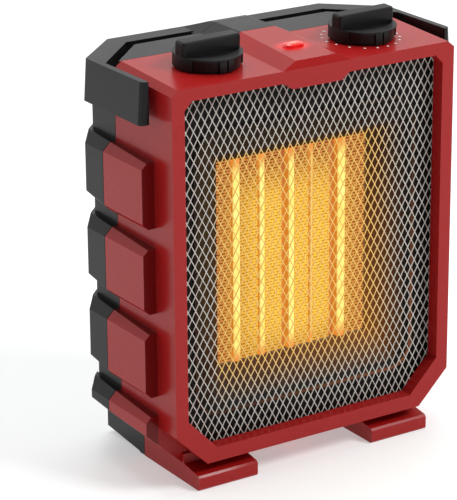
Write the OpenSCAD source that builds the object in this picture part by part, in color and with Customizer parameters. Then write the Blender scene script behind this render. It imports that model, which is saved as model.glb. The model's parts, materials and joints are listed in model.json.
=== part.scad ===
// Ceramic space heater: two moulded shells, a wrap-round carry rail, a PTC heating
// core behind an expanded-metal guard, an axial fan and two control knobs.
// Drawn from the bezel's front face (y = 0), then stood with the origin on the floor
// under the middle of the heater.
// +X to the right seen from the front, +Y to the back, +Z up. Millimetres.

/* [Housing] */
// width of both shells
body_w = 190; // [160:1:240]
// depth of the front shell, bezel to seam
seam_y = 60.3; // [50:0.1:80]
// depth of both shells together
body_d = 105; // [100:1:130]
// height of the control panel's front edge
panel_z = 238.4; // [225:0.1:260]
// height of the level top behind the seam
top_z = 241.3; // [228:0.1:264]
// height of the underside above the floor
base_z = 16; // [12:1:24]
// size of the lower corner chamfers
corner_c = 20.4; // [10:0.1:30]
// wall thickness of the mouldings
wall = 2.5; // [1.8:0.1:3.5]
// open line between the two shells
seam_gap = 0.3; // [0.2:0.1:0.6]
// height where the rear shell steps in under the rail
ledge_z = 215.5; // [205:0.5:220]

/* [Bezel] */
// half width of the outlet opening
open_hw = 87; // [70:0.5:90]
// bottom of the outlet opening
open_z0 = 24.7; // [20:0.1:40]
// top of the outlet opening
open_z1 = 231.3; // [215:0.1:235]
// depth of the bezel in front of the guard
bezel_d = 8.6; // [5:0.1:14]

/* [Side ribs] */
// how far a side rib stands out
rib_out = 8.6; // [4:0.1:12]
// width of the level step above each rib
rib_step = 3.8; // [1:0.1:6]
// height of a rib's flat face
rib_face = 31.4; // [20:0.1:40]
// spacing of the ribs
rib_pitch = 50.1; // [40:0.1:60]
// height of the top rib's step
rib_z = 195.8; // [180:0.1:205]
// front end of the ribs
rib_y0 = 18.6; // [8:0.1:30]
// rear end of a rib's flat face
rib_y1 = 80.5; // [70:0.1:86]

/* [Rail] */
// half width of the carry rail at its top edge
rail_hw = 103.9; // [98:0.1:112]
// thickness of the side arms
rail_arm = 3.9; // [3:0.1:8]
// thickness of the rear bar
rail_bar = 12; // [10:0.5:18]
// height of the rail
rail_h = 24.3; // [18:0.1:30]
// outward draft of the rail's outer wall
rail_draft = 1.7; // [0:0.1:3]
// front end of the side arms
rail_y0 = 15.5; // [10:0.5:40]
// where the rail's corner chamfers begin
rail_y1 = 76.4; // [70:0.1:86]

/* [Feet] */
// inner face of a foot
foot_x0 = 40.4; // [30:0.1:60]
// outer face of a foot
foot_x1 = 80.3; // [65:0.1:90]
// height of the toe under the bezel
toe_z = 9.1; // [6:0.1:12]

/* [Controls] */
// distance of each knob from the middle
knob_x = 52.4; // [40:0.1:65]
// distance of the knobs from the panel's front edge
knob_y = 31.4; // [25:0.1:40]
// knob radius
knob_r = 19.7; // [14:0.1:24]
// height of a knob above the panel
knob_h = 16.3; // [12:0.1:24]
// knob angle at rest
knob_deg = 2; // [-45:1:45]
// radius of the control shafts
spindle_r = 3; // [2:0.1:4]

/* [Heating core] */
// half width of the core
core_hw = 51.5; // [40:0.5:60]
// bottom of the core
core_z0 = 62.5; // [50:0.5:80]
// top of the core
core_z1 = 184.5; // [160:0.5:200]
// front of the core
core_y = 25.5; // [20:0.5:34]
// depth of the core
core_d = 13; // [8:0.5:20]
// spacing of the fins
fin_pitch = 3; // [2:0.1:6]

/* [Fan] */
// radius over the blades
fan_r = 46; // [35:0.5:52]
// number of blades
blades = 7; // [3:1:11]
// radius of the motor can
motor_r = 18; // [12:0.5:26]

/* [Output] */
// one node to draw, or all of them

/* [Hidden] */

hw = body_w / 2;
panel_deg = atan((top_z - panel_z) / seam_y);
core_z = (core_z0 + core_z1) / 2;
rail_z0 = top_z - rail_h;
rear_c = 18.8;               // rear corner chamfer of the lower housing
top_back = 86.5;             // rear edge of the level top
top_sum = 153;               // |x| + y along the top's corner chamfers
low_sum = hw + body_d - rear_c;  // |x| + y along the lower corner chamfers
rib_reach = hw + rib_out;
rib_low = 3.6;               // bevel under each rib
rib_tilt = 2.2;              // slope of the steps above the ribs
rib_taper = 6.5;             // widening of the rear ribs' lower bevels
ridge_base = 22.4;           // half width of the centre ridge on the panel
ridge_top = 11.6;            // half width of its crest at the seam
ridge_z = 246.2;             // height of the crest at the seam
ridge_front = [1.6, 4.4];    // crest's front edge: back from the bezel, height
ridge_flare = 2.2;           // how the flanks turn outwards to the front
foot_edge = 12.5;            // top of a foot's outer face at the seam
edge_x = 4.3;                // chamfer along the panel's side edges
edge_z = 3.5;
skirt_h = 8.3;               // top of a knob's skirt above the panel
grip = 4.6;                  // half thickness of a knob's grip bar
boss = [70, 30, 203];        // shell screw bosses: |x|, lower z, upper z
gland = [-45, 31];           // cord inlet
scoop = [60, 165];           // hand hollow: half width, lower edge
intake = [58, 46, 154];      // half width, bottom, top
tip = [0, 74];               // tip-over switch
gland_out = 4.6;             // how far the gland stands out at the back
mid_y = (body_d + gland_out) / 2;
guard_y = bezel_d + 0.1;     // front of the expanded-metal guard
guard_t = 0.8;
guard_cell = [14.7, 26.1];
funnel_y = guard_y + 2.2;    // front of the funnel's plate
mouth = [74, 41, 207, 14];   // funnel mouth: half width, bottom, top, corner radius
guard_screw = [89.9, 61, 201];   // guard and funnel screws: |x|, lower z, upper z
fan_y = 46;
lens_y = 24.6;
bars = [[-41, -35.4], [-23, -18.4], [-2.9, 1.9], [12, 15.2], [31.3, 37.5]];
fins = [[-51.5, -41], [-35.4, -23], [-18.4, -6.6], [1.9, 12], [15.2, 26.9], [37.5, 51.5]];
spacers = [[-6.6, -2.9], [26.9, 31.3]];

$fn = 64;

// ---- shared shapes -------------------------------------------------------------

// polygon in the x-z plane, extruded from y0 to y1
module along_y(y0, y1) {
  translate([0, y1, 0]) rotate([90, 0, 0]) linear_extrude(y1 - y0) children();
}

// polygon in the y-z plane, extruded from x0 to x1
module along_x(x0, x1) {
  translate([x0, 0, 0]) rotate([90, 0, 90]) linear_extrude(x1 - x0) children();
}

// cylinder along y
module rod_y(r, y0, y1) {
  translate([0, y0, 0]) rotate([-90, 0, 0]) cylinder(r = r, h = y1 - y0);
}

// the sloping control panel's own frame: z is 0 on its surface
module on_panel(x = 0, y = 0) {
  translate([0, 0, panel_z]) rotate([panel_deg, 0, 0]) translate([x, y, 0]) children();
}

// moves the drawing so that the origin is under the heater's middle
module stand() {
  translate([0, -mid_y, 0]) children();
}

module guard_holes(r, y0, y1) {
  both_sides() for (z = [guard_screw[1], guard_screw[2]])
    translate([guard_screw[0], 0, z]) rod_y(r, y0, y1);
}

module both_sides() {
  children();
  mirror([1, 0, 0]) children();
}

// front view of the housing, drawn in by o all round
function housing_xz(o, top) = let (k = o * (sqrt(2) - 1)) [
  [-hw + o, top], [-hw + o, base_z + corner_c + k], [-hw + corner_c + k, base_z + o],
  [hw - corner_c - k, base_z + o], [hw - o, base_z + corner_c + k], [hw - o, top]];

// side rib number n, seen from the front, on the +x side, from x0 out; its level step
// is cut afterwards by rib_cuts
function rib_xz(n, x0) = let (z = rib_top(n), b = rib_out - rib_step) [
  [x0, z + rib_reach - x0 - b], [rib_reach, z - b], [rib_reach, z - b - rib_face],
  [rib_reach - rib_low, z - b - rib_face - rib_low], [x0, z - b - rib_face - rib_low]];

function rib_top(n) = rib_z - n * rib_pitch;

// lowest rib, which runs down into the foot
function low_rib_xz() = let (z = rib_top(3), b = rib_out - rib_step, drop = rib_reach - foot_x1) [
  [hw - 1.2, z + rib_reach - hw + 1.2 - b], [rib_reach, z - b],
  [rib_reach, foot_edge + drop - 5], [foot_x1, foot_edge - 2], [foot_x1 - 4, foot_edge - 2],
  [hw - corner_c - 1.2, base_z + 0.6], [hw - 1.2, base_z + corner_c + 0.5]];

module ribs_xz(x0) {
  for (n = [0:2]) polygon(rib_xz(n, x0));
  polygon(low_rib_xz());
}

// cuts the steps above the ribs, which slope down to the front like the panel
module rib_cuts() {
  for (n = [0:3]) translate([hw - 20, seam_y, rib_top(n)]) rotate([rib_tilt, 0, 0])
    translate([0, -60, 0]) cube([40, 120, 11]);
}

// widens the lower bevels of the rear ribs towards the back
module rib_under_cuts() {
  for (n = [0:2]) translate([rib_reach, seam_y, rib_top(n) - rib_out + rib_step - rib_face])
    rotate([rib_taper, -45, 0]) translate([-13, -2, -6]) cube([27, 60, 6]);
}

// cuts the slope under the lowest rib, which rises to the back by a degrees
module low_rib_cut(a) {
  translate([foot_x1, seam_y, foot_edge]) rotate([a, -43, 0])
    translate([-6, -60, -12]) cube([50, 120, 12]);
}

// triangle that takes the chamfer off one side edge of the panel
module edge_cut(o) {
  translate([-o * 0.63, 0, -o * 0.77]) along_y(-40, 160)
    polygon([[hw - 2 * edge_x, edge_z], [hw + edge_x, -2 * edge_z], [hw + 20, 12]]);
}

// front housing block under the sloping panel
module front_block(o, y0, y1) {
  difference() {
    along_y(y0, y1) polygon(housing_xz(o, top_z + 10));
    on_panel() translate([-150, -40, -o]) cube([300, 200, 60]);
    on_panel() both_sides() edge_cut(o);
  }
}

// rear housing block: full depth below the ledge, stepped in above it
module rear_block(o, y0) {
  low = low_sum - o * sqrt(2);
  high = top_sum - o * sqrt(2);
  difference() {
    intersection() {
      union() {
        translate([0, 0, base_z]) linear_extrude(ledge_z - base_z - o)
          polygon([[-hw, y0], [hw, y0], [hw, low - hw], [low - body_d + o, body_d - o],
            [-low + body_d - o, body_d - o], [-hw, low - hw]]);
        translate([0, 0, base_z]) linear_extrude(top_z - base_z - o)
          polygon([[-high + y0, y0], [high - y0, y0], [high - top_back + o, top_back - o],
            [-high + top_back - o, top_back - o]]);
      }
      along_y(y0 - 1, body_d + 1) polygon(housing_xz(o, top_z + 10));
    }
    hand_hollow(o);
  }
}

// sloping hollow behind and under the rail
module hand_hollow(o) {
  along_x(-scoop[0] - o, scoop[0] + o) polygon([[body_d + 1, scoop[1] - o - 2.7],
    [body_d, scoop[1] - o], [top_back - o, ledge_z - o], [top_back - o, ledge_z + 1],
    [body_d + 1, ledge_z + 1]]);
}

function opening_xz() = [[-open_hw, open_z0 + 19.8], [-open_hw + 19, open_z0],
  [open_hw - 19, open_z0], [open_hw, open_z0 + 19.8], [open_hw, open_z1 - 5],
  [open_hw - 5, open_z1], [22, open_z1], [16.5, open_z1 - 4], [-16.5, open_z1 - 4],
  [-22, open_z1], [-open_hw + 5, open_z1], [-open_hw, open_z1 - 5]];

function tongue_x(z) = ridge_top + (ridge_z - z) * (ridge_base - ridge_top) / (ridge_z - top_z);

// ridge cross-section with sloping flanks, crest far above
module ridge_xz(low) {
  polygon([[-tongue_x(low), low], [tongue_x(low), low], [tongue_x(ridge_z + 3), ridge_z + 3],
    [-tongue_x(ridge_z + 3), ridge_z + 3]]);
}

// ---- shells --------------------------------------------------------------------

module front_ridge() {
  difference() {
    along_x(-30, 30) polygon([[0, panel_z - 1], [0, panel_z],
      [ridge_front[0], panel_z + ridge_front[1]], [seam_y, ridge_z], [seam_y, top_z - 1]]);
    both_sides() translate([ridge_top, seam_y, ridge_z])
      rotate([ridge_flare, atan((ridge_z - top_z) / (ridge_base - ridge_top)), 0])
      translate([-10, -80, 0]) cube([50, 160, 20]);
  }
}

module front_ribs() {
  difference() {
    along_y(rib_y0, seam_y) ribs_xz(hw - 1.2);
    rib_cuts();
    low_rib_cut(1.2);
  }
}

module front_foot() {
  along_x(foot_x0, foot_x1) polygon([[1.2, 0], [0.2, 1], [0.2, toe_z - 1.2], [1.4, toe_z],
    [16.4, toe_z + 2.2], [17, base_z + 1], [seam_y, base_z + 1], [seam_y, 0]]);
}

module shell_post(z, y0, y1) {
  translate([boss[0], 0, z]) rod_y(4.6, y0, y1);
}

module front_shell() {
  color([0.69, 0.19, 0.19]) stand() difference() {
    union() {
      difference() {
        union() {
          front_block(0, 0, seam_y);
          both_sides() front_ribs();
          both_sides() front_foot();
        }
        front_block(wall, bezel_d, seam_y + 1);
        along_y(-1, bezel_d + 1) polygon(opening_xz());
      }
      front_ridge();
      both_sides() {
        shell_post(boss[1], 34, seam_y);
        shell_post(boss[2], 34, seam_y);
        translate([boss[0] - 1, 34, base_z + 1]) cube([2, seam_y - 34, boss[1] - base_z - 4]);
        translate([boss[0] + 3.5, 34, boss[2] - 1]) cube([hw - boss[0] - 4.5, seam_y - 34, 2]);
      }
    }
    both_sides() for (z = [boss[1], boss[2]])
      translate([boss[0], 0, z]) rod_y(1.9, 38, seam_y + 1);
    on_panel(-knob_x, knob_y) translate([0, 0, -6]) cylinder(r = spindle_r + 1.2, h = 12);
    on_panel(knob_x, knob_y) translate([0, 0, -6]) cylinder(r = spindle_r + 1.2, h = 12);
    lens_hole(0.1);
    guard_holes(1.2, 3.6, bezel_d + 1);
  }
}

module rear_ridge() {
  along_y(seam_y + seam_gap, top_back) intersection() {
    ridge_xz(top_z - 1);
    translate([-40, top_z - 1]) square([80, ridge_z - top_z + 1]);
  }
}

module rear_ribs() {
  intersection() {
    difference() {
      along_y(seam_y + seam_gap, body_d) ribs_xz(80);
      rib_cuts();
      rib_under_cuts();
      low_rib_cut(3.2);
    }
    // follows the outside of the shell round its corner
    translate([0, 0, 1]) linear_extrude(220) polygon([[foot_x1 - 10, seam_y], [rib_reach, seam_y],
      [rib_reach, rib_y1], [88, rib_y1 + rib_reach - 88], [86.4, low_sum - 86.4 - 1],
      [hw - 1.2, low_sum - hw - 0.6], [hw - 1.2, seam_y + 2], [foot_x1 - 10, seam_y + 2]]);
  }
}

// rear part of a foot; its underside rises to the back behind a low rim at the seam
module rear_foot() {
  along_x(foot_x0, foot_x1) polygon([[seam_y + seam_gap, 0], [66, 0], [66, 0.6], [103, 3.9],
    [103, base_z + 1], [seam_y + seam_gap, base_z + 1]]);
}

module rear_shell() {
  color([0.2, 0.2, 0.2]) stand() difference() {
    union() {
      difference() {
        union() {
          rear_block(0, seam_y + seam_gap);
          both_sides() rear_ribs();
          both_sides() rear_foot();
        }
        rear_block(wall, seam_y - 1);
      }
      rear_ridge();
      both_sides() for (z = [boss[1], boss[2]]) shell_post(z, seam_y + seam_gap, body_d - 1);
      // fan shroud pads on the side walls
      both_sides() for (z = [70, 176]) translate([hw - 12, 64.4, z - 5]) cube([11, 6, 10]);
      both_sides() for (z = [70, 176]) translate([62, 64.4, z - 5]) cube([31, 4, 10]);
      // tip-over switch box floor
      translate([tip[0] - 9, tip[1] - 13, base_z + 1]) cube([18, 26, wall]);
    }
    // screw wells and clearance holes from the back
    both_sides() for (z = [boss[1], boss[2]]) translate([boss[0], 0, z]) {
      rod_y(2.2, seam_y, body_d + 1);
      rod_y(3.6, body_d - 8, body_d + 1);
    }
    // air intake
    translate([-intake[0], body_d - wall - 1, intake[1]])
      cube([2 * intake[0], wall + 2, intake[2] - intake[1]]);
    // cord inlet
    translate([gland[0] - 6.2, body_d - wall - 1, gland[1] - 6.2]) cube([12.4, wall + 2, 12.4]);
    // tip-over plunger hole
    translate([tip[0], tip[1], base_z - 1]) cylinder(r = 4, h = 2 * wall + 3);
    // rail screw holes
    for (x = [-9, 9]) translate([x, 0, 229]) rod_y(1.7, top_back - wall - 1, top_back + 1);
    both_sides() rail_lug_frame() translate([0, -9, 0]) rod_y(1.7, 0, 12);
    both_sides() for (z = [70, 176]) translate([67, 0, z]) rod_y(1.3, 64, 72);
  }
}

// ---- carry rail ----------------------------------------------------------------

function rail_outer(d) = [[-rail_hw - d + 3.9, rail_y0], [-rail_hw - d + 2, rail_y0 + 0.2],
  [-rail_hw - d + 0.7, rail_y0 + 1.1], [-rail_hw - d, rail_y0 + 2.8], [-rail_hw - d, rail_y1],
  [-73.3 - d / 2, 105.2 + d / 2], [73.3 + d / 2, 105.2 + d / 2], [rail_hw + d, rail_y1],
  [rail_hw + d, rail_y0 + 2.8], [rail_hw + d - 0.7, rail_y0 + 1.1],
  [rail_hw + d - 2, rail_y0 + 0.2], [rail_hw + d - 3.9, rail_y0]];

function rail_inner() = let (x = rail_hw - rail_arm, y = 105.2 - rail_bar) [[-x, 0],
  [-x, 61.3], [-67.8, y], [67.8, y], [x, 61.3], [x, 0]];

// frame on the rear shell's right corner chamfer: y points out across the slot
module rail_lug_frame() {
  translate([(top_sum - 6.4) / 2 + 3.5, (top_sum + 6.4) / 2 - 3.5 , 229]) rotate([0, 0, -45]) children();
}

module carry_rail() {
  color([0.17, 0.17, 0.17]) stand() difference() {
    union() {
      difference() {
        hull() {
          translate([0, 0, top_z - 0.01]) linear_extrude(0.01) polygon(rail_outer(0));
          translate([0, 0, rail_z0]) linear_extrude(0.01) polygon(rail_outer(rail_draft));
        }
        translate([0, 0, rail_z0 - 1]) linear_extrude(rail_h + 2) polygon(rail_inner());
      }
      // centre tongue that carries the ridge across the slot
      intersection() {
        along_y(top_back, 105) ridge_xz(top_z - 1);
        along_x(-40, 40) polygon([[top_back, top_z - 1], [top_back, ridge_z], [92, ridge_z - 0.4],
          [104.6, top_z], [104.6, top_z - 1]]);
      }
      translate([-16, top_back, 220]) cube([32, 8, top_z - 220]);
      // corner lugs
      both_sides() rail_lug_frame() translate([-9, 0, -9]) cube([18, 7.2, 13]);
    }
    for (x = [-9, 9]) translate([x, 0, 229]) rod_y(1.4, top_back - 1, top_back + 9);
    both_sides() rail_lug_frame() rod_y(1.4, -1, 10);
  }
}

// ---- outlet --------------------------------------------------------------------

// one family of parallel strands of the expanded metal
module strands(s) {
  n = 26;
  len = 320;
  a = atan2(guard_cell[1], guard_cell[0]);
  for (i = [-n:n]) translate([i * guard_cell[0], core_z]) rotate(s * a)
    translate([-len / 2, -0.7]) square([len, 1.4]);
}

module guard_outline(o) {
  polygon([[-hw + wall + o, base_z + corner_c + 2 + o / 2], [-hw + corner_c + 2 + o / 2, base_z + wall + o],
    [hw - corner_c - 2 - o / 2, base_z + wall + o], [hw - wall - o, base_z + corner_c + 2 + o / 2],
    [hw - wall - o, 233.5 - o], [-hw + wall + o, 233.5 - o]]);
}

module front_guard() {
  color([0.83, 0.8, 0.74]) stand() {
    difference() {
      union() {
        along_y(guard_y, guard_y + guard_t) difference() {
          guard_outline(0.4);
          guard_outline(6);
        }
        along_y(guard_y + 0.05, guard_y + 0.4) intersection() {
          guard_outline(3);
          strands(1);
        }
        along_y(guard_y + 0.4, guard_y + 0.75) intersection() {
          guard_outline(3);
          strands(-1);
        }
      }
      guard_holes(1.6, guard_y - 1, guard_y + 2);
    }
  }
}

module mouth_slab(o, y, t) {
  hull() for (x = [-1, 1], z = [mouth[1] + mouth[3], mouth[2] - mouth[3]])
    translate([x * (mouth[0] - mouth[3]), y, z]) rotate([-90, 0, 0])
      cylinder(r = mouth[3] + o, h = t, $fn = 32);
}

module throat_slab(o, y, t) {
  translate([-core_hw - o, y, core_z0 - o]) cube([2 * (core_hw + o), t, core_z1 - core_z0 + 2 * o]);
}

module heat_funnel() {
  color([0.16, 0.15, 0.14]) stand() difference() {
    union() {
      along_y(funnel_y, funnel_y + 1.2) guard_outline(0.6);
      along_y(guard_y + guard_t, funnel_y + 0.1) difference() {
        guard_outline(0.6);
        guard_outline(5);
      }
      mouth_slab(1.6, funnel_y - 1, 1.2);
      hull() {
        mouth_slab(1, funnel_y, 0.1);
        throat_slab(1, core_y - 1.6, 1);
      }
    }
    hull() {
      mouth_slab(0, funnel_y - 1.1, 0.2);
      throat_slab(0, core_y - 1.7, 1.2);
    }
    guard_holes(1.6, guard_y, funnel_y + 3);
  }
}

// ---- heating core --------------------------------------------------------------

module core_frame() {
  color([0.86, 0.84, 0.78]) stand() difference() {
    translate([-core_hw - 4.5, core_y - 0.4, core_z0 - 7])
      cube([2 * core_hw + 9, core_d + 2.4, core_z1 - core_z0 + 14]);
    translate([-core_hw - 0.1, core_y - 1, core_z0 - 0.1])
      cube([2 * core_hw + 0.2, core_d + 4, core_z1 - core_z0 + 0.2]);
    for (x = [-40, 40], z = [core_z0 - 3.6, core_z1 + 3.6])
      translate([x, 0, z]) rod_y(1.6, core_y - 1, core_y + core_d + 4);
  }
}

module core_bars() {
  color([1, 0.85, 0.35]) stand() for (b = bars) {
    translate([b[0] + 0.05, core_y + 1, core_z0])
      cube([b[1] - b[0] - 0.1, core_d - 1, core_z1 - core_z0]);
    translate([(b[0] + b[1]) / 2, core_y + 1, core_z0])
      cylinder(r = (b[1] - b[0]) / 2 - 0.05, h = core_z1 - core_z0, $fn = 32);
  }
}

module fin_pack(x0, x1) {
  skin = 0.5;
  n = floor((core_z1 - core_z0 - 1) / fin_pitch);
  z0 = (core_z0 + core_z1) / 2 - n * fin_pitch / 2;
  difference() {
    translate([x0 + 0.05, core_y + 0.6, core_z0]) cube([x1 - x0 - 0.1, core_d - 1.2, core_z1 - core_z0]);
    for (i = [0:n - 1]) translate([x0 + skin, core_y, z0 + i * fin_pitch + 0.4])
      cube([x1 - x0 - 2 * skin, core_d, fin_pitch - 0.8]);
  }
}

module core_fins() {
  color([0.95, 0.55, 0.2]) stand() for (f = fins) fin_pack(f[0], f[1]);
}

module core_spacers() {
  color([0.75, 0.4, 0.15]) stand() for (s = spacers)
    translate([s[0] + 0.1, core_y + 3, core_z0]) cube([s[1] - s[0] - 0.2, core_d - 4, core_z1 - core_z0]);
}

// ---- fan -----------------------------------------------------------------------

module fan_shroud() {
  color([0.2, 0.2, 0.2]) stand() difference() {
    union() {
      translate([-72, 62, core_z - 64]) cube([144, 2, 128]);
      translate([0, 0, core_z]) rod_y(fan_r + 5, 43, 63);
      translate([-core_hw - 4.5, 41.2, core_z0 - 7]) cube([2 * core_hw + 9, 2.4, core_z1 - core_z0 + 14]);
    }
    translate([0, 0, core_z]) rod_y(fan_r + 2.6, 40, 65);
    for (x = [-67, 67], z = [70, 176]) translate([x, 0, z]) rod_y(1.6, 61, 65);
    for (x = [-40, 40], z = [core_z0 - 3.6, core_z1 + 3.6]) translate([x, 0, z]) rod_y(1.6, 40, 45);
    for (a = [0:120:359]) translate([0, 0, core_z]) rotate([0, a + 30, 0])
      translate([fan_r + 3.8, 0, 0]) rod_y(0.8, 60, 65);
  }
}

module impeller() {
  color([0.12, 0.12, 0.12]) stand() translate([0, 0, core_z]) difference() {
    union() {
      rod_y(13, fan_y, fan_y + 13);
      for (i = [0:blades - 1]) rotate([0, i * 360 / blades, 0]) intersection() {
        rod_y(fan_r, fan_y + 0.5, fan_y + 12.5);
        translate([10, fan_y + 6.5, 0]) rotate([40, 0, 0]) translate([0, -11, -0.8]) cube([fan_r, 22, 1.6]);
      }
    }
    rod_y(1.55, fan_y + 2, fan_y + 14);
  }
}

module motor_shaft() {
  color([0.75, 0.75, 0.77]) stand() translate([0, 0, core_z]) rod_y(1.5, fan_y + 2.2, 88);
}

module fan_motor() {
  color([0.6, 0.6, 0.62]) stand() translate([0, 0, core_z]) difference() {
    union() {
      rod_y(motor_r, 68.4, 90);
      rod_y(6, 66.2, 68.5);
      rod_y(6, 90, 93);
      translate([-5, 90, -15]) cube([10, 2.5, 6]);
    }
    rod_y(1.58, 60, 89);
  }
}

module motor_bracket() {
  color([0.7, 0.7, 0.72]) stand() translate([0, 0, core_z]) difference() {
    union() {
      rod_y(motor_r + 1, 66.6, 68.4);
      for (a = [0:120:359]) rotate([0, a + 30, 0]) {
        translate([8, 66.6, -4]) cube([fan_r - 0.4, 1.8, 8]);
        translate([fan_r + 1, 64, -4]) cube([6, 4.4, 8]);
      }
    }
    rod_y(6.2, 60, 70);
    for (a = [0:120:359]) rotate([0, a + 30, 0]) translate([fan_r + 3.8, 0, 0]) rod_y(1.5, 60, 70);
  }
}

module intake_grille() {
  slat = 2;
  pitch = 5.5;
  h = intake[2] - intake[1];
  n = floor((h - 8) / pitch);
  color([0.16, 0.16, 0.16]) stand() union() {
    difference() {
      translate([-intake[0] + 0.2, body_d - 3.4, intake[1] + 0.2]) cube([2 * intake[0] - 0.4, 3.2, h - 0.4]);
      translate([-intake[0] + 4, body_d - 5, intake[1] + 4]) cube([2 * intake[0] - 8, 6, h - 8]);
    }
    difference() {
      translate([-intake[0] - 3, body_d - wall - 1.8, intake[1] - 3]) cube([2 * intake[0] + 6, 1.7, h + 6]);
      translate([-intake[0] + 4, body_d - 6, intake[1] + 4]) cube([2 * intake[0] - 8, 6, h - 8]);
    }
    for (i = [1:n - 1]) translate([-intake[0] + 3, body_d - 3.2, intake[1] + 4 + i * pitch - slat / 2])
      cube([2 * intake[0] - 6, 2.6, slat]);
    for (x = [-30, 0, 30]) translate([x - 1.2, body_d - 4, intake[1] + 3]) cube([2.4, 2.4, h - 6]);
  }
}

// ---- controls ------------------------------------------------------------------

// round skirt with a tall grip bar and a shallow pocket on each side of it
module control_knob() {
  gap = 0.8;
  difference() {
    union() {
      translate([0, 0, gap]) cylinder(r = knob_r, h = skirt_h - gap, $fn = 96);
      grip_bar();
    }
    for (s = [-1, 1]) grip_pocket(s);
    // flutes and pointer slots in the skirt
    for (k = [0, 180], s = [-1, 1]) rotate([0, 0, k]) flute(s * 37, 46);
    for (k = [0, 180]) rotate([0, 0, k - 90]) translate([knob_r - 1.6, -0.5, 0]) cube([3, 1, 7.4]);
    // hollow underside round the boss
    difference() {
      translate([0, 0, -1]) cylinder(r = knob_r - 2.4, h = 5.6);
      translate([0, 0, -2]) cylinder(r = 6, h = 9);
    }
    translate([0, 0, -1]) cylinder(r = spindle_r + 0.05, h = 11);
  }
}

// grip bar with rounded ends and eased top edges
module grip_bar() {
  hull() {
    grip_slab(0, 2, knob_h - 1.5);
    grip_slab(0.35, 3, knob_h - 0.5);
    grip_slab(1.1, 4, knob_h);
  }
}

module grip_slab(o, z0, z1) {
  for (x = [-1, 1], y = [-1, 1]) translate([x * (knob_r - 2.3), y * (grip - 2), z0])
    cylinder(r = 2 - o, h = z1 - z0, $fn = 24);
}

// leaf-shaped pocket between the grip bar and the skirt's rim, deepest at the bar
module grip_pocket(s) {
  intersection() {
    translate([-30, s > 0 ? grip : -grip - 30, 3]) cube([60, 30, 20]);
    translate([0, s * grip, skirt_h - 1.7]) rotate([s * 5, 0, 0])
      translate([0, -s * 15.1, 0]) cylinder(r = 23.5, h = 12, $fn = 128);
  }
}

// shallow flute that is w degrees wide, centred a degrees round from the front
module flute(a, w) {
  rotate([0, 0, a - 90]) difference() {
    linear_extrude(7.2) polygon([[0, 0], [30 * cos(w / 2), -30 * sin(w / 2)], [30, 0],
      [30 * cos(w / 2), 30 * sin(w / 2)]]);
    translate([0, 0, -1]) cylinder(r = knob_r - 1.2, h = 9);
  }
}

module spindle() {
  translate([0, 0, -16]) cylinder(r = spindle_r, h = 25.6);
  translate([0, 0, -11.5]) cylinder(r = 5.2, h = 1.4);
}

module switch_case(w, d, h) {
  difference() {
    union() {
      translate([-w / 2, -d / 2, -wall - h - 0.3]) cube([w, d, h]);
      for (x = [-1, 1]) translate([x * w / 2 - 1.5, -2, -wall - h - 6]) cube([3, 4, 7]);
      for (y = [-1, 1]) translate([-2, y * d / 3 - 1, -wall - h - 6]) cube([4, 2, 7]);
    }
    translate([0, 0, -17]) cylinder(r = spindle_r + 0.06, h = 20);
    translate([0, 0, -12]) cylinder(r = 5.6, h = 2.4);
  }
}

module mode_knob() {
  color([0.15, 0.15, 0.15]) stand() on_panel(-knob_x, knob_y)
    rotate([0, 0, knob_deg]) control_knob();
}

module thermostat_knob() {
  color([0.15, 0.15, 0.15]) stand() on_panel(knob_x, knob_y)
    rotate([0, 0, knob_deg]) control_knob();
}

module mode_spindle() {
  color([0.8, 0.8, 0.8]) stand() on_panel(-knob_x, knob_y) spindle();
}

module thermostat_spindle() {
  color([0.8, 0.8, 0.8]) stand() on_panel(knob_x, knob_y) spindle();
}

module mode_switch() {
  color([0.3, 0.3, 0.3]) stand() on_panel(-knob_x, knob_y) switch_case(26, 26, 15);
}

module thermostat() {
  color([0.85, 0.83, 0.76]) stand() on_panel(knob_x, knob_y) {
    switch_case(30, 22, 15);
    translate([-15, 14, -wall - 12]) cube([30, 5, 1.2]);
    translate([-15, 10, -wall - 14]) cube([6, 9, 6]);
  }
}

// pill-shaped pocket through the ridge
module lens_hole(gap) {
  on_panel(0, lens_y) translate([0, 0, -6]) linear_extrude(20) pill(gap);
}

module pill(gap) {
  for (x = [-2.6, 2.6]) translate([x, 0]) circle(r = 3.9 + gap, $fn = 48);
  translate([-2.6, -3.9 - gap]) square([5.2, 7.8 + 2 * gap]);
}

module indicator_lens() {
  color([1, 0.15, 0.1]) stand() on_panel(0, lens_y) difference() {
    union() {
      translate([0, 0, -wall - 0.5]) linear_extrude(7.7) pill(0);
      translate([0, 0, 4.7]) hull() for (x = [-2.6, 2.6]) translate([x, 0, 0]) {
        cylinder(r = 3.9, h = 0.2, $fn = 32);
        cylinder(r = 3.3, h = 1.3, $fn = 32);
        cylinder(r = 1.9, h = 1.9, $fn = 32);
      }
      translate([-9, -5.5, -wall - 1.6]) cube([18, 11, 1.5]);
    }
    translate([0, 0, -5]) cylinder(r = 2.8, h = 8);
  }
}

module indicator_board() {
  color([0.1, 0.35, 0.2]) stand() on_panel(0, lens_y) {
    translate([-14, -8, -wall - 5]) cube([28, 16, 1.6]);
    translate([0, 0, -wall - 3.5]) cylinder(r = 2.5, h = 4);
    translate([-11, -6, -wall - 7.5]) cube([4, 5, 2.6]);
    translate([6, -5, -wall - 8]) cube([5, 9, 3.1]);
  }
}

// ---- electrical parts ----------------------------------------------------------

module thermal_cutoff() {
  color([0.78, 0.76, 0.7]) stand() translate([0, core_y + core_d / 2 + 0.8, core_z1 + 7]) {
    cylinder(r = 8, h = 5);
    translate([0, 0, 5]) cylinder(r = 6.5, h = 3);
    translate([-12, -3, 0]) cube([24, 6, 1.2]);
    for (x = [-4, 4]) translate([x - 0.4, -3, 8]) cube([0.8, 6, 6]);
  }
}

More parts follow.
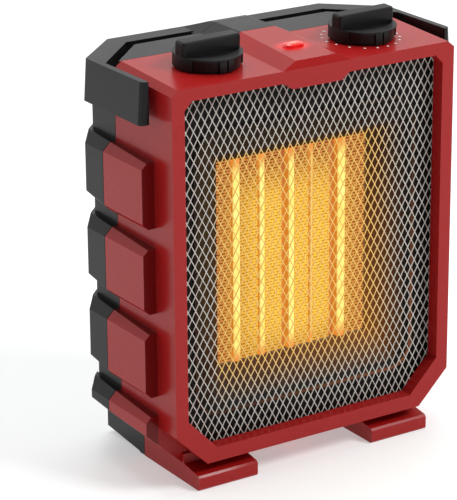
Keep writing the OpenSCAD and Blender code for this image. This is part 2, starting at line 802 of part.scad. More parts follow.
module terminal_block() {
  color([0.9, 0.88, 0.82]) stand() translate([-58, 76, base_z + wall]) difference() {
    union() {
      cube([38, 16, 12]);
      for (i = [0:3]) translate([1 + i * 9.5, 3, 12]) cube([7.5, 10, 3]);
    }
    for (i = [0:3]) translate([4.75 + i * 9.5, 8, 9]) cylinder(r = 1.8, h = 8);
  }
}

module tip_switch() {
  color([0.25, 0.25, 0.27]) stand() difference() {
    translate([tip[0] - 8, tip[1] - 12, base_z + wall + 1.1]) cube([16, 24, 20]);
    translate([tip[0], tip[1], base_z - 1]) cylinder(r = 3.06, h = 20);
    translate([tip[0], tip[1], base_z + wall]) cylinder(r = 5, h = 8);
  }
}

module tip_plunger() {
  color([0.85, 0.85, 0.85]) stand() translate([tip[0], tip[1], 0]) {
    translate([0, 0, 0.3]) cylinder(r1 = 4.4, r2 = 5.2, h = 1);
    translate([0, 0, 1.3]) cylinder(r = 5.2, h = 2.2);
    translate([0, 0, 3.4]) cylinder(r = 3, h = 27.4);
    translate([0, 0, 25]) cylinder(r = 4.4, h = 1.2);
  }
}

module cord_gland() {
  color([0.1, 0.1, 0.1]) stand() translate([gland[0], body_d, gland[1]]) rotate([-90, 0, 0])
    difference() {
      union() {
        translate([-8.5, -8.5, 0]) cube([17, 17, 1.6]);
        translate([0, 0, 1.5]) cylinder(r1 = 8, r2 = 6.4, h = gland_out - 1.5);
        translate([-6, -6, -wall - 2.6]) cube([12, 12, wall + 3]);
        translate([-7.6, -7.6, -wall - 2.4]) cube([15.2, 15.2, 2.2]);
      }
      translate([0, 0, -10]) cylinder(r = 3.7, h = 20);
    }
}

// ---- fasteners -----------------------------------------------------------------

// pan-head screw along +y from its head at y = 0
module screw(r, len, head) {
  rod_y(r, -0.2, len);
  difference() {
    rod_y(head, -head * 0.6, 0);
    for (a = [0, 90]) rotate([0, a, 0]) translate([-head * 0.6, -head * 0.7, -head * 0.1])
      cube([head * 1.2, head * 0.45, head * 0.2]);
  }
}

module shell_screws() {
  color([0.35, 0.35, 0.37]) stand() both_sides() for (z = [boss[1], boss[2]])
    translate([boss[0], body_d - 8, z]) rotate([0, 0, 180]) screw(1.85, 52, 3.4);
}

module funnel_screws() {
  color([0.6, 0.6, 0.62]) stand() both_sides() for (z = [guard_screw[1], guard_screw[2]])
    translate([guard_screw[0], funnel_y + 1.2, z]) rotate([0, 0, 180]) screw(1.15, 7.6, 2.3);
}

module rail_screws() {
  color([0.6, 0.6, 0.62]) stand() {
    for (x = [-9, 9]) translate([x, top_back - wall, 229]) screw(1.35, 9, 2.8);
    both_sides() rail_lug_frame() translate([0, -wall, 0]) screw(1.35, 8.4, 2.8);
  }
}

module fan_screws() {
  color([0.6, 0.6, 0.62]) stand() {
    translate([0, 0, core_z]) for (a = [0:120:359]) rotate([0, a + 30, 0])
      translate([fan_r + 3.8, 68.4, 0]) rotate([0, 0, 180]) screw(0.75, 6.8, 2.2);
    for (x = [-67, 67], z = [70, 176]) translate([x, 62, z]) screw(1.25, 5.5, 2.6);
    for (x = [-40, 40], z = [core_z0 - 3.6, core_z1 + 3.6])
      translate([x, 43.6, z]) rotate([0, 0, 180]) screw(1.5, 14, 2.8);
  }
}

// ---- nodes ---------------------------------------------------------------------

front_shell();
rear_shell();
carry_rail();
front_guard();
heat_funnel();
core_frame();
core_bars();
core_fins();
core_spacers();
fan_shroud();
impeller();
motor_shaft();
fan_motor();
motor_bracket();
intake_grille();
mode_knob();
mode_spindle();
mode_switch();
thermostat_knob();
thermostat_spindle();
thermostat();
indicator_lens();
indicator_board();
thermal_cutoff();
terminal_block();
tip_switch();
tip_plunger();
cord_gland();
shell_screws();
funnel_screws();
rail_screws();
fan_screws();
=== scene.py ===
"""Looks for the ceramic space heater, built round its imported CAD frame."""
import json
import math

import bmesh
import bpy
from mathutils import Matrix, Vector


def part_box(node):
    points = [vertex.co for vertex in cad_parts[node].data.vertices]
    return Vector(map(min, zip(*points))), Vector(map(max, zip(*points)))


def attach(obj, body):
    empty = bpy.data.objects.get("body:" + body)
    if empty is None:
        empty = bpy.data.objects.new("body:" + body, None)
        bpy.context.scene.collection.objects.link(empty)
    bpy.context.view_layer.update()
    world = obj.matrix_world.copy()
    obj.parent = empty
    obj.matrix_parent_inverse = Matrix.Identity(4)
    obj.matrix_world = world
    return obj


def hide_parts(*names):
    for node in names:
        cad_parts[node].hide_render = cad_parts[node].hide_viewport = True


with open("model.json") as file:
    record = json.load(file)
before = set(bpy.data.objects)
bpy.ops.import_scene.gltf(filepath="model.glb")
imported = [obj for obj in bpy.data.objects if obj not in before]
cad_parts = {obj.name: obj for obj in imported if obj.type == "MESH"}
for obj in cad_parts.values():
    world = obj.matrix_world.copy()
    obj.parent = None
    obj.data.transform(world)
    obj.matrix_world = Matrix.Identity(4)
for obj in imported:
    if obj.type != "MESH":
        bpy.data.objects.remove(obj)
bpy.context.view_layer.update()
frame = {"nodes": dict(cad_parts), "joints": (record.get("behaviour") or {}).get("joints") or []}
NODES = frame["nodes"]
BODY = "heater"
MM = 0.001


def span(node):
    """Lowest and highest corners of a CAD node."""
    return tuple(Vector(corner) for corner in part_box(node))


GUARD_LO, GUARD_HI = span("front_guard")
FINS_LO, FINS_HI = span("core_fins")
CORE = (FINS_LO + FINS_HI) / 2
CORE_HALF = (FINS_HI - FINS_LO) / 2
BARS_FRONT = span("core_bars")[0].y
FUNNEL_LO = span("heat_funnel")[0]
LENS = sum(span("indicator_lens"), Vector()) / 2
NO_LIGHT = (0.0, 0.0, 0.0)


# ---- node helpers ----------------------------------------------------------------

class Shader:
    """One procedural material: a Principled shader and the nodes that drive it."""

    def __init__(self, name, **values):
        self.mat = bpy.data.materials.new(name)
        self.mat.use_nodes = True
        self.tree = self.mat.node_tree
        self.bsdf = self.tree.nodes["Principled BSDF"]
        for key, value in values.items():
            self.set(key.replace("_", " "), value)
        coords = self.node("ShaderNodeTexCoord")
        self.place = coords.outputs["Object"]

    def set(self, key, value):
        self.bsdf.inputs[key].default_value = value

    def node(self, kind, **settings):
        made = self.tree.nodes.new(kind)
        for key, value in settings.items():
            setattr(made, key, value)
        return made

    def link(self, source, socket):
        self.tree.links.new(source, socket)

    def stretched(self, scale):
        made = self.node("ShaderNodeMapping")
        made.inputs["Scale"].default_value = scale
        self.link(self.place, made.inputs["Vector"])
        return made.outputs["Vector"]

    def noise(self, scale, detail=3.0, rough=0.55, where=None):
        made = self.node("ShaderNodeTexNoise")
        made.inputs["Scale"].default_value = scale
        made.inputs["Detail"].default_value = detail
        made.inputs["Roughness"].default_value = rough
        self.link(where or self.place, made.inputs["Vector"])
        return made.outputs["Fac"]

    def soft(self, source, low, high, a, b):
        return self.ramp(source, low, high, a, b, "SMOOTHSTEP")

    def ramp(self, source, low, high, a, b, kind="LINEAR"):
        """Takes source from low..high to a..b."""
        made = self.node("ShaderNodeMapRange", interpolation_type=kind)
        values = (("From Min", low), ("From Max", high), ("To Min", a), ("To Max", b))
        for key, value in values:
            made.inputs[key].default_value = value
        self.link(source, made.inputs["Value"])
        return made.outputs["Result"]

    def math(self, operation, a, b=0):
        made = self.node("ShaderNodeMath", operation=operation)
        for socket, value in zip(made.inputs, (a, b)):
            if isinstance(value, (int, float)):
                socket.default_value = value
            else:
                self.link(value, socket)
        return made.outputs[0]

    def mix(self, fac, a, b):
        made = self.node("ShaderNodeMix", data_type="RGBA")
        sockets = [s for s in made.inputs if s.type == "RGBA"]
        self.link(fac, made.inputs["Factor"])
        for socket, value in zip(sockets, (a, b)):
            if isinstance(value, tuple):
                socket.default_value = (*value, 1)
            else:
                self.link(value, socket)
        return next(s for s in made.outputs if s.type == "RGBA")

    def axis(self, letter):
        made = self.node("ShaderNodeSeparateXYZ")
        self.link(self.place, made.inputs[0])
        return made.outputs[letter]

    def off(self, letter, middle):
        """Distance from the middle along one axis, signed."""
        return self.math("SUBTRACT", self.axis(letter), middle)

    def product(self, first, *others):
        for other in others:
            first = self.math("MULTIPLY", first, other)
        return first

    def length(self, a, b):
        total = self.math("ADD", self.product(a, a), self.product(b, b))
        return self.math("SQRT", total)

    def glow(self, source):
        self.to("Emission Color", source)
        self.set("Emission Strength", 1.0)

    def bump(self, height, strength, distance):
        made = self.node("ShaderNodeBump")
        made.inputs["Strength"].default_value = strength
        made.inputs["Distance"].default_value = distance
        self.link(height, made.inputs["Height"])
        self.link(made.outputs["Normal"], self.bsdf.inputs["Normal"])

    def to(self, key, source):
        self.link(source, self.bsdf.inputs[key])


def moulded(name, light, dark, rough, grain=0.06, spread=0.02, gloss=0.24):
    """Moulded plastic: slow tone drift, fine spark-eroded grain, uneven gloss."""
    s = Shader(name, IOR=1.5, Specular_IOR_Level=gloss)
    s.to("Base Color", s.mix(s.noise(24, 4), dark, light))
    s.to("Roughness", s.ramp(s.noise(35, 3), 0.3, 0.7, rough - spread, rough + spread))
    s.bump(s.noise(2400, 2), grain, 0.00003)
    return s


def lens_glow(s):
    """Red light that the lit lens throws on the panel round it."""
    away = s.length(s.product(s.off("X", LENS.x), 0.75), s.off("Y", LENS.y))
    near = s.soft(away, 3 * MM, 10.5 * MM, 1, 0)
    s.glow(s.mix(near, NO_LIGHT, (0.55, 0.018, 0.016)))


def shade_ribs(s):
    """Deepens the colour on the ribs' front ends and top ledges, which sit in shadow."""
    geometry = s.node("ShaderNodeNewGeometry")
    facing = s.node("ShaderNodeSeparateXYZ")
    s.link(geometry.outputs["True Normal"], facing.inputs[0])
    proud = s.ramp(s.math("ABSOLUTE", s.axis("X")), 95.4 * MM, 96 * MM, 0, 1)
    ahead = s.ramp(facing.outputs["Y"], -0.90, -0.60, 1, 0)
    up = s.ramp(facing.outputs["Z"], 0.75, 0.95, 0, 1)
    dim = s.product(proud, s.math("MAXIMUM", ahead, up))
    plain = s.bsdf.inputs["Base Color"].links[0].from_socket
    s.to("Base Color", s.mix(dim, plain, (0.165, 0.002, 0.002)))


def metal(name, colour, rough, lines_along=(60, 900, 900)):
    """Plated or brushed metal with fine lines along one axis."""
    s = Shader(name, Metallic=1.0)
    lines = s.noise(1, 6, 0.7, s.stretched(lines_along))
    dull = tuple(c * 0.75 for c in colour)
    s.to("Base Color", s.mix(lines, dull, colour))
    s.to("Roughness", s.ramp(lines, 0.3, 0.7, rough - 0.06, rough + 0.08))
    s.bump(lines, 0.15, 0.00004)
    return s


# ---- materials -------------------------------------------------------------------

def funnel_sheet():
    """Heat-proof black paint, with the core's light painted on as a glow near the core."""
    s = Shader("dark_sheet", IOR=1.45, Specular_IOR_Level=0.15)
    s.to("Base Color", s.mix(s.noise(90, 5), (0.006, 0.005, 0.004), (0.011, 0.0095, 0.008)))
    s.to("Roughness", s.ramp(s.noise(140, 4), 0.3, 0.7, 0.45, 0.6))
    # painted glow: the core's light on the throat's lower and outer walls, and faintly on the lip
    # of its mouth
    lit = s.product(s.ramp(s.axis("Z"), FINS_LO.z, FINS_HI.z + 10 * MM, 1, 0.12),
                    s.ramp(s.axis("X"), FINS_LO.x, FINS_HI.x, 0.25, 1))
    y = s.axis("Y")
    throat = s.ramp(y, FUNNEL_LO.y + 2.8 * MM, FUNNEL_LO.y + 3.2 * MM, 0, 1)
    deep = s.ramp(y, FUNNEL_LO.y + 4 * MM, FINS_LO.y - 2 * MM, 0.25, 1)
    wall = s.mix(s.product(lit, throat, deep), NO_LIGHT, (0.17, 0.050, 0.006))
    lip = s.product(s.ramp(y, FUNNEL_LO.y + 0.6 * MM, FUNNEL_LO.y + 0.9 * MM, 1, 0),
                    s.ramp(s.math("ABSOLUTE", s.axis("X")), 79 * MM, 80 * MM, 1, 0),
                    s.ramp(s.axis("Z"), FUNNEL_LO.z + 8 * MM, FUNNEL_LO.z + 9 * MM, 0, 1), lit)
    s.glow(s.mix(lip, wall, (0.14, 0.045, 0.018)))
    s.bump(s.noise(1800, 3), 0.4, 0.00006)
    return s


def ceramic():
    s = Shader("core_insulator")
    s.to("Base Color", s.mix(s.noise(300, 6), (0.20, 0.18, 0.15), (0.30, 0.27, 0.22)))
    s.to("Roughness", s.ramp(s.noise(500, 3), 0.3, 0.7, 0.7, 0.9))
    s.bump(s.noise(1500, 4), 0.5, 0.0001)
    return s


def heat(s):
    """0 at the core's cool rim, 1 in its hot middle."""
    dx = s.math("ABSOLUTE", s.axis("X"))
    dz = s.math("ABSOLUTE", s.off("Z", CORE.z - 8 * MM))
    across = s.soft(dx, CORE_HALF.x * 0.35, CORE_HALF.x * 1.04, 1, 0)
    along = s.soft(dz, CORE_HALF.z * 0.55, CORE_HALF.z * 1.12, 1, 0)
    patchy = s.ramp(s.noise(42, 3), 0.3, 0.7, 0.86, 1.08)
    return s.product(across, along, patchy)


def hot_fins():
    """Thin fins that glow most on their front edges."""
    s = Shader("hot_fins", Roughness=0.55, Metallic=0.0)
    s.set("Base Color", (0.10, 0.05, 0.02, 1))
    hot = heat(s)
    rim = s.ramp(s.axis("Y"), FINS_LO.y + 0.2 * MM, FINS_LO.y + 0.9 * MM, 1, 0)
    edge = s.mix(hot, (0.52, 0.175, 0.026), (0.97, 0.57, 0.050))
    deep = s.mix(hot, (0.070, 0.018, 0.004), (0.55, 0.26, 0.012))
    s.glow(s.mix(rim, deep, edge))
    s.bump(s.noise(900, 3), 0.3, 0.0001)
    return s


def hot_bars():
    """Yellow-hot along the nose of each bar, orange on its sides and at its ends."""
    s = Shader("hot_bars", Roughness=0.4)
    s.set("Base Color", (0.25, 0.14, 0.04, 1))
    drift = s.ramp(s.noise(55, 4), 0.35, 0.65, 0, 1)
    hot = s.mix(drift, (1.0, 0.74, 0.14), (1.0, 0.92, 0.27))
    nose = s.soft(s.axis("Y"), BARS_FRONT + 1.1 * MM, BARS_FRONT + 1.9 * MM, 1, 0)
    front = s.mix(nose, (0.50, 0.155, 0.012), hot)
    body = s.soft(s.math("ABSOLUTE", s.off("Z", CORE.z)), 50 * MM, 60.5 * MM, 1, 0)
    s.glow(s.mix(body, (0.70, 0.21, 0.02), front))
    return s


def hot_spacers():
    s = Shader("hot_spacers", Roughness=0.7)
    s.set("Base Color", (0.25, 0.12, 0.05, 1))
    s.glow(s.mix(heat(s), (0.30, 0.07, 0.015), (0.55, 0.17, 0.012)))
    s.bump(s.noise(700, 4), 0.4, 0.0001)
    return s


def core_light_patch(s):
    """Mask for the core's light painted on the guard: 1 over the core, fading out past its edges,
    slowest outwards and down.
    """
    x, z = s.axis("X"), s.axis("Z")
    return s.product(s.soft(x, FINS_LO.x - 13 * MM, FINS_LO.x - 8 * MM, 0, 1),
                     s.soft(x, FINS_HI.x - 12 * MM, FINS_HI.x + 15 * MM, 1, 0),
                     s.soft(z, FINS_LO.z - 20 * MM, FINS_LO.z + 10 * MM, 0, 1),
                     s.soft(z, FINS_HI.z + 6 * MM, FINS_HI.z + 11 * MM, 1, 0))


def guard_enamel():
    """Pale enamel, with the core's warm light painted on it in front of the core, as colour and as
    glow.
    """
    s = Shader("guard_enamel", IOR=1.5, Specular_IOR_Level=0.3)
    near = core_light_patch(s)
    plain_enamel = s.mix(s.noise(260, 4), (0.50, 0.475, 0.43), (0.64, 0.615, 0.57))
    # painted light: over the core the enamel's colour turns warm orange, standing in for the
    # core's light falling on it
    s.to("Base Color", s.mix(near, plain_enamel, (0.62, 0.41, 0.14)))
    s.to("Roughness", s.ramp(s.noise(400, 3), 0.3, 0.7, 0.3, 0.5))
    # painted glow of the core's light on the guard
    s.glow(s.mix(near, NO_LIGHT, (0.26, 0.14, 0.014)))
    s.bump(s.noise(1500, 2), 0.2, 0.00005)
    return s


def lens_red():
    """Lit lens: a hot spot over the lamp, deep red at its rim."""
    s = Shader("lens_red", Roughness=0.08, IOR=1.5, Coat_Weight=0.6, Coat_Roughness=0.04)
    s.set("Base Color", (0.55, 0.005, 0.004, 1))
    away = s.length(s.off("X", LENS.x), s.product(s.off("Y", LENS.y - 0.4 * MM), 1.6125))
    spot = s.soft(away, 0.6 * MM, 4.2 * MM, 1, 0)
    rim = s.soft(away, 3.4 * MM, 6.6 * MM, 1, 0)
    s.glow(s.mix(spot, s.mix(rim, (0.20, 0.0, 0.0), (0.95, 0.012, 0.006)), (1.0, 0.22, 0.06)))
    return s


def board_green():
    s = Shader("board_green", Roughness=0.35)
    s.to("Base Color", s.mix(s.noise(700, 2), (0.01, 0.09, 0.03), (0.02, 0.16, 0.06)))
    return s


def rubber():
    s = Shader("gland_rubber", IOR=1.45)
    s.to("Base Color", s.mix(s.noise(200, 4), (0.010, 0.010, 0.010), (0.018, 0.018, 0.018)))
    s.to("Roughness", s.ramp(s.noise(300, 3), 0.3, 0.7, 0.6, 0.75))
    s.bump(s.noise(1200, 3), 0.4, 0.0001)
    return s


def print_ink():
    s = Shader("print_ink", Roughness=0.5)
    s.to("Base Color", s.mix(s.noise(1800, 2), (0.80, 0.72, 0.70), (0.92, 0.87, 0.86)))
    return s


# ---- mesh helpers ----------------------------------------------------------------

def piece(name, bm, shader, body=BODY):
    mesh = bpy.data.meshes.new(name)
    bmesh.ops.recalc_face_normals(bm, faces=bm.faces)
    bm.to_mesh(mesh)
    bm.free()
    mesh.materials.append(shader.mat)
    made = bpy.data.objects.new(name, mesh)
    bpy.context.collection.objects.link(made)
    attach(made, body)
    return made


BOX_QUADS = ((0, 1, 3, 2), (4, 6, 7, 5), (0, 4, 5, 1), (2, 3, 7, 6), (0, 2, 6, 4), (1, 5, 7, 3))


def add_box(bm, lo, hi):
    """Axis-aligned box between two corners."""
    corners = [bm.verts.new((x, y, z)) for x in (lo[0], hi[0]) for y in (lo[1], hi[1])
               for z in (lo[2], hi[2])]
    for quad in BOX_QUADS:
        bm.faces.new([corners[i] for i in quad])


def thicken(made, thickness, offset=0.0):
    solid = made.modifiers.new("thick", "SOLIDIFY")
    solid.thickness = thickness
    solid.offset = offset


# ---- expanded-metal guard --------------------------------------------------------

CELL_W, CELL_H = 4.9 * MM, 8.7 * MM
STRAND = 0.46 * MM
STRAND_T = 0.4 * MM
STRAND_TILT = 0.10 * MM
GUARD_CORNER = 20.1 * MM
BORDER = 4.6 * MM


def hole_corners(cx, cz):
    """Eight corners of one diamond hole, clockwise from the top's left corner."""
    slope = math.atan2(CELL_H, CELL_W)
    w = CELL_W / 2 - STRAND / 2 / math.sin(slope)
    h = w * math.tan(slope)
    cut = 0.16
    tips = ((0, h), (w, 0), (0, -h), (-w, 0))
    out = []
    for k in range(4):
        tip, before, after = tips[k], tips[k - 1], tips[(k + 1) % 4]
        for other in (before, after):
            out.append((cx + tip[0] + (other[0] - tip[0]) * cut * 0.5,
                        cz + tip[1] + (other[1] - tip[1]) * cut * 0.5))
    return out


def guard_lattice(y):
    """Diamond holes in staggered rows, joined by strands and bonds, cut at the border."""
    bm = bmesh.new()
    cells = {}
    nx = int((GUARD_HI.x - GUARD_LO.x) / CELL_W / 2) + 2
    nz = int((GUARD_HI.z - GUARD_LO.z) / CELL_H) + 3
    for j in range(-nz, nz + 1):
        for i in range(-nx, nx + 1):
            cx, cz = (i + (j % 2) / 2) * CELL_W, CORE.z + j * CELL_H / 2
            verts = []
            for n, (x, z) in enumerate(hole_corners(cx, cz)):
                tilt = -STRAND_TILT if n in (0, 1, 2, 7) else STRAND_TILT
                verts.append(bm.verts.new((x, y + tilt, z)))
            cells[(2 * i + j % 2, j)] = verts
    for (i, j), own in cells.items():
        # corner numbers: 0,1 top; 2,3 right; 4,5 bottom; 6,7 left
        upper_right, upper_left = cells.get((i + 1, j + 1)), cells.get((i - 1, j + 1))
        if upper_right:
            bm.faces.new((own[1], own[2], upper_right[5], upper_right[6]))
        if upper_left:
            bm.faces.new((own[0], own[7], upper_left[4], upper_left[3]))
        right, above = cells.get((i + 2, j)), upper_right
        below = cells.get((i + 1, j - 1))
        if right and above and below:
            bm.faces.new((own[2], own[3], below[0], below[1],
                          right[6], right[7], above[4], above[5]))
    for start, away in border_cuts():
        everything = bm.verts[:] + bm.edges[:] + bm.faces[:]
        bmesh.ops.bisect_plane(bm, geom=everything, dist=0.00001, plane_co=start,
                               plane_no=away, clear_outer=True)
    return bm


def border_ring(o):
    """Outline of the guard with its two cut corners, drawn in by o."""
    x, z0, z1, c = GUARD_HI.x, GUARD_LO.z, GUARD_HI.z, GUARD_CORNER
    return [(-x + o, z0 + c + o / 2), (-x + c + o / 2, z0 + o), (x - c - o / 2, z0 + o),
            (x - o, z0 + c + o / 2), (x - o, z1 - o), (-x + o, z1 - o)]


def border_cuts():
    """A point and an outward normal for each side of the lattice."""
    ring = border_ring(0.5 * MM)
    for k, (x, z) in enumerate(ring):
        nx, nz = ring[(k + 1) % len(ring)]
        yield (x, 0, z), (nz - z, 0, x - nx)


def make_guard(shader):
    y = (GUARD_LO.y + GUARD_HI.y) / 2
    lattice = piece("guard_mesh", guard_lattice(y), shader)
    thicken(lattice, STRAND_T)
    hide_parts("front_guard")
    bm = bmesh.new()
    outer = [bm.verts.new((a, y, b)) for a, b in border_ring(0)]
    inner = [bm.verts.new((a, y, b)) for a, b in border_ring(BORDER)]
    for k in range(6):
        n = (k + 1) % 6
        bm.faces.new((outer[k], outer[n], inner[n], inner[k]))
    thicken(piece("guard_border", bm, shader), 0.7 * MM)


# ---- heating core ----------------------------------------------------------------

FIN_PITCH = 1.8 * MM
FIN_T = 0.90 * MM
TIE_W = 0.75 * MM
TIE_PITCH = 3.6 * MM
FIN_PACKS = ((-51.5, -41.0), (-35.4, -23.0), (-18.4, -6.6),
             (1.9, 12.0), (15.2, 26.9), (37.5, 51.5))      # left and right edges, in mm


def make_fins(shader):
    """Each pack is a stack of thin fins tied by short staggered webs."""
    bm = bmesh.new()
    y0, y1 = FINS_LO.y, FINS_HI.y
    z0, z1 = FINS_LO.z, FINS_HI.z
    rows = int((z1 - z0) / FIN_PITCH)
    start = (z0 + z1 - rows * FIN_PITCH) / 2
    for left, right in FIN_PACKS:
        x0, x1 = left * MM + 0.05 * MM, right * MM - 0.05 * MM
        columns = max(2, round((x1 - x0) / TIE_PITCH))
        step = (x1 - x0) / columns
        for r in range(rows + 1):
            z = start + r * FIN_PITCH
            add_box(bm, (x0, y0, z - FIN_T / 2), (x1, y1, z + FIN_T / 2))
            if r == rows:
                continue
            shift = 0.5 if r % 2 else 0.0
            for c in range(columns + 1):
                x = x0 + (c + shift) * step
                if x - TIE_W / 2 > x1:
                    continue
                a, b = max(x0, x - TIE_W / 2), min(x1, x + TIE_W / 2)
                add_box(bm, (a, y0 + 0.1 * MM, z + FIN_T / 2 - 0.05 * MM),
                        (b, y1, z + FIN_PITCH - FIN_T / 2 + 0.05 * MM))
    fins = piece("fin_stack", bm, shader)
    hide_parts("core_fins")


# ---- control panel ---------------------------------------------------------------

DASHES = [(a, 23.1, 2.3, 1.1) for a in (-146, -130, -113, -95)]
DOTS = [(a, 21.9, 1.5, 1.5) for a in (-77, -54, -31, -11, 7, 26, 45, 62, 79)]


def panel_frame(knob):
    """Point on the knob's axis and the panel's normal, from the joint."""
    for joint in frame["joints"]:
        if joint["name"] == knob:
            return Vector(joint["pos_m"]), Vector(joint["axis"]).normalized()
    raise ValueError(knob)


def make_ticks(knob, marks, shader, name):
    """Printed marks round a knob. marks: (angle from the front, radius, length, width)."""
    centre, up = panel_frame(knob)
    side = Vector((1, 0, 0))
    ahead = side.cross(up).normalized()       # points to the front
    bm = bmesh.new()
    lift = 0.06 * MM
    for angle, radius, length, width in marks:
        a = math.radians(angle)
        out = ahead * math.cos(a) + side * math.sin(a)
        across = out.cross(up)
        mid = centre + out * radius * MM + up * lift
        along, wide = out * length / 2 * MM, across * width / 2 * MM
        turns = [math.radians(b) for b in range(0, 360, 30)]
        bm.faces.new([bm.verts.new(mid + along * math.cos(b) + wide * math.sin(b)) for b in turns])
    thicken(piece(name, bm, shader), 0.05 * MM, -1.0)


# ---- scene -----------------------------------------------------------------------

def paint(shader, *names):
    for name in names:
        NODES[name].data.materials.clear()
        NODES[name].data.materials.append(shader.mat)


def soften(name, width):
    """Rounds a CAD node's edges by width mm, with modifiers only."""
    o = NODES[name]
    weld = o.modifiers.new("weld", "WELD")
    weld.merge_threshold = 0.00001
    flat = o.modifiers.new("flat", "DECIMATE")
    flat.decimate_type = "DISSOLVE"
    flat.angle_limit = math.radians(0.6)
    if name in ("rear_shell", "cord_gland"):     # their ring-shaped faces need to stay triangles
        o.modifiers.new("triangles", "TRIANGULATE").ngon_method = "BEAUTY"
    bev = o.modifiers.new("round", "BEVEL")
    bev.width = width * MM
    bev.segments = 3
    bev.limit_method = "ANGLE"
    bev.angle_limit = math.radians(28)
    bev.harden_normals = True
    bev.miter_outer = "MITER_ARC"


FLOOR = 40          # half the floor's width in metres, past the horizon of low views


def make_floor():
    bm = bmesh.new()
    corners = ((-FLOOR, -FLOOR), (FLOOR, -FLOOR), (FLOOR, FLOOR), (-FLOOR, FLOOR))
    bm.faces.new([bm.verts.new((x, y, 0)) for x, y in corners])
    mesh = bpy.data.meshes.new("floor")
    bm.to_mesh(mesh)
    bm.free()
    floor = bpy.data.objects.new("floor", mesh)
    bpy.context.collection.objects.link(floor)
    s = Shader("floor", Roughness=0.8, Specular_IOR_Level=0.1)
    s.to("Base Color", s.mix(s.noise(3), (0.62, 0.63, 0.63), (0.65, 0.66, 0.66)))
    s.set("Emission Color", (1, 1, 1, 1))
    s.set("Emission Strength", 0.40)      # keeps its shadows pale
    mesh.materials.append(s.mat)


def area_light(name, place, target, size, power, colour=(1, 1, 1)):
    data = bpy.data.lights.new(name, "AREA")
    data.shape = "RECTANGLE"
    data.size, data.size_y = size
    data.energy = power
    data.color = colour
    lamp = bpy.data.objects.new(name, data)
    lamp.location = place
    lamp.rotation_euler = (Vector(target) - Vector(place)).to_track_quat("-Z", "Y").to_euler()
    bpy.context.collection.objects.link(lamp)


def light_studio():
    """Bright sweep behind the object, dimmer room in front, one large soft key."""
    world = bpy.data.worlds.new("studio")
    world.use_nodes = True
    tree = world.node_tree
    coords = tree.nodes.new("ShaderNodeTexCoord")
    split = tree.nodes.new("ShaderNodeSeparateXYZ")
    shade = tree.nodes.new("ShaderNodeMapRange")
    shade.interpolation_type = "SMOOTHSTEP"
    values = (("From Min", -0.32), ("From Max", 0.45), ("To Min", 0.10), ("To Max", 0.97))
    for key, value in values:
        shade.inputs[key].default_value = value
    tree.links.new(coords.outputs["Generated"], split.inputs[0])
    tree.links.new(split.outputs["Y"], shade.inputs["Value"])
    background = tree.nodes["Background"]
    background.inputs["Color"].default_value = (1, 1, 1, 1)
    tree.links.new(shade.outputs["Result"], background.inputs["Strength"])
    bpy.context.scene.world = world
    bpy.context.scene.view_settings.view_transform = "Standard"
    area_light("key", (1.1, -1.5, 1.9), (0, 0, 0.1), (0.9, 0.9), 47.5)
    area_light("top", (0.2, 0.5, 2.2), (0, 0, 0.1), (1.6, 1.6), 22)


CAMERA_PLACE = (-0.78038, -1.17589, 0.61819)
CAMERA_BACK = (-0.50921, -0.79210, 0.33657)       # away from what it looks at
CAMERA_AZIMUTH, CAMERA_ROLL = -32.74, -0.42
CAMERA_LENS = 183.97


def place_camera():
    """The camera stands where the picture was taken from, with its small roll."""
    azimuth, roll = math.radians(CAMERA_AZIMUTH), math.radians(CAMERA_ROLL)
    right = Vector((math.cos(azimuth), math.sin(azimuth), 0))
    back = Vector(CAMERA_BACK).normalized()
    up = back.cross(right).normalized()
    x = right * math.cos(roll) + up * math.sin(roll)
    y = up * math.cos(roll) - right * math.sin(roll)
    data = bpy.data.cameras.new("camera")
    data.sensor_width = 36
    data.lens = CAMERA_LENS
    data.clip_start = 0.05
    camera = bpy.data.objects.new("camera", data)
    turn = Matrix((x, y, back)).transposed().to_4x4()
    camera.matrix_world = Matrix.Translation(CAMERA_PLACE) @ turn
    bpy.context.collection.objects.link(camera)
    bpy.context.scene.camera = camera


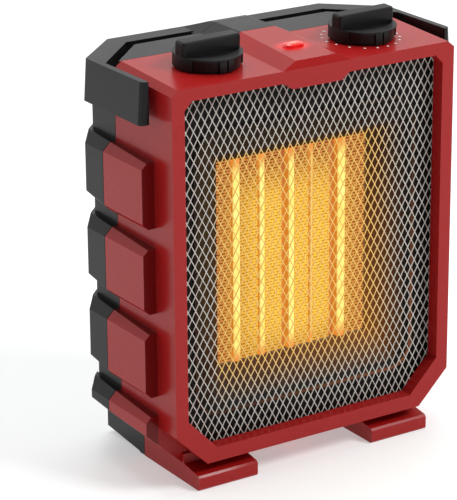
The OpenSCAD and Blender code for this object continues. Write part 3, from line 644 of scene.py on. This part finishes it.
def dress_nodes():
    red = moulded("red_plastic", (0.345, 0.010, 0.010), (0.328, 0.008, 0.008), 0.26)
    lens_glow(red)
    shade_ribs(red)
    paint(red, "front_shell")
    paint(moulded("black_plastic", (0.0073, 0.0073, 0.0075), (0.0053, 0.0053, 0.0055), 0.36),
          "rear_shell", "carry_rail", "intake_grille")
    paint(moulded("knob_plastic", (0.0080, 0.0080, 0.0082), (0.0060, 0.0060, 0.0062), 0.42),
          "mode_knob", "thermostat_knob")
    paint(moulded("inner_plastic", (0.020, 0.020, 0.020), (0.012, 0.012, 0.012), 0.5),
          "fan_shroud", "impeller")
    paint(moulded("case_plastic", (0.03, 0.03, 0.033), (0.02, 0.02, 0.022), 0.35),
          "mode_switch", "tip_switch")
    paint(moulded("block_cream", (0.66, 0.62, 0.50), (0.56, 0.52, 0.42), 0.35), "terminal_block")
    paint(moulded("plunger_nylon", (0.74, 0.74, 0.71), (0.66, 0.66, 0.63), 0.35), "tip_plunger")
    paint(moulded("screw_black", (0.03, 0.03, 0.032), (0.018, 0.018, 0.02), 0.3), "shell_screws")
    paint(funnel_sheet(), "heat_funnel")
    paint(ceramic(), "core_frame", "thermostat", "thermal_cutoff")
    paint(hot_bars(), "core_bars")
    paint(hot_spacers(), "core_spacers")
    paint(metal("plain_steel", (0.62, 0.62, 0.64), 0.3), "motor_shaft", "mode_spindle",
          "thermostat_spindle", "funnel_screws", "rail_screws", "fan_screws")
    paint(metal("motor_can", (0.55, 0.55, 0.58), 0.32, (900, 60, 900)), "fan_motor")
    paint(metal("zinc_sheet", (0.60, 0.61, 0.64), 0.38, (120, 120, 120)), "motor_bracket")
    paint(lens_red(), "indicator_lens")
    paint(board_green(), "indicator_board")
    paint(rubber(), "cord_gland")
    for name, width in (("front_shell", 0.7), ("rear_shell", 0.6), ("carry_rail", 0.8),
                        ("mode_knob", 0.45), ("thermostat_knob", 0.45), ("cord_gland", 0.3),
                        ("intake_grille", 0.2)):
        soften(name, width)


place_camera()
light_studio()
make_floor()
dress_nodes()
ENAMEL = guard_enamel()
paint(ENAMEL, "front_guard")
make_guard(ENAMEL)
FINS = hot_fins()
paint(FINS, "core_fins")
make_fins(FINS)
make_ticks("thermostat_turn", DASHES + DOTS, print_ink(), "thermostat_marks")
